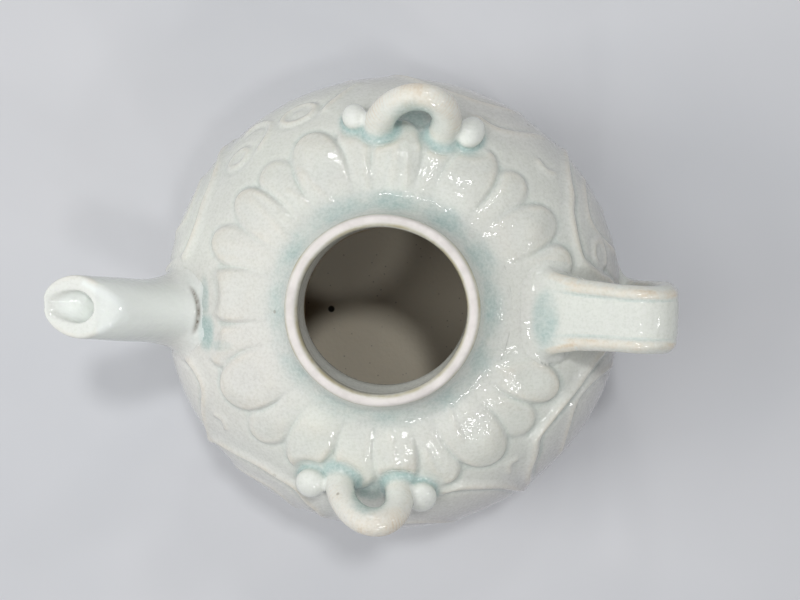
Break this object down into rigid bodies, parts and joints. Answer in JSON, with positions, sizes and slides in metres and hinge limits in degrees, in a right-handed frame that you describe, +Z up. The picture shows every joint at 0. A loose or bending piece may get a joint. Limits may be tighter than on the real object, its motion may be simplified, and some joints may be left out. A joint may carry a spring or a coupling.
{
  "type": "small porcelain ewer",
  "caption": "Small lidless porcelain ewer with a lotus petal collar, short neck, curved spout, strap handle and cord loops.",
  "frame": {"origin": "centre of the flat base, on the surface it stands on", "axes": "+Z up, +X towards the handle, -X towards the spout, +Y towards the back cord loop"},
  "size_m": [0.1356, 0.1108, 0.08],
  "materials": {
    "body_glaze": "glossy pale celadon glaze, teal where it pools",
    "fitting_glaze": "glossy pale celadon glaze, cream on proud edges",
    "rim_glaze": "thin matt glaze, pinkish white with tan edges"
  },
  "bodies": {
    "root": {"lower_body": "body_glaze", "upper_body": "body_glaze", "neck_ring": "rim_glaze", "spout": "fitting_glaze", "handle": "fitting_glaze", "back_cord_loop": "fitting_glaze", "front_cord_loop": "fitting_glaze", "back_left_pellet": "fitting_glaze", "back_right_pellet": "fitting_glaze", "front_left_pellet": "fitting_glaze", "front_right_pellet": "fitting_glaze"}
  },
  "joints": []
}
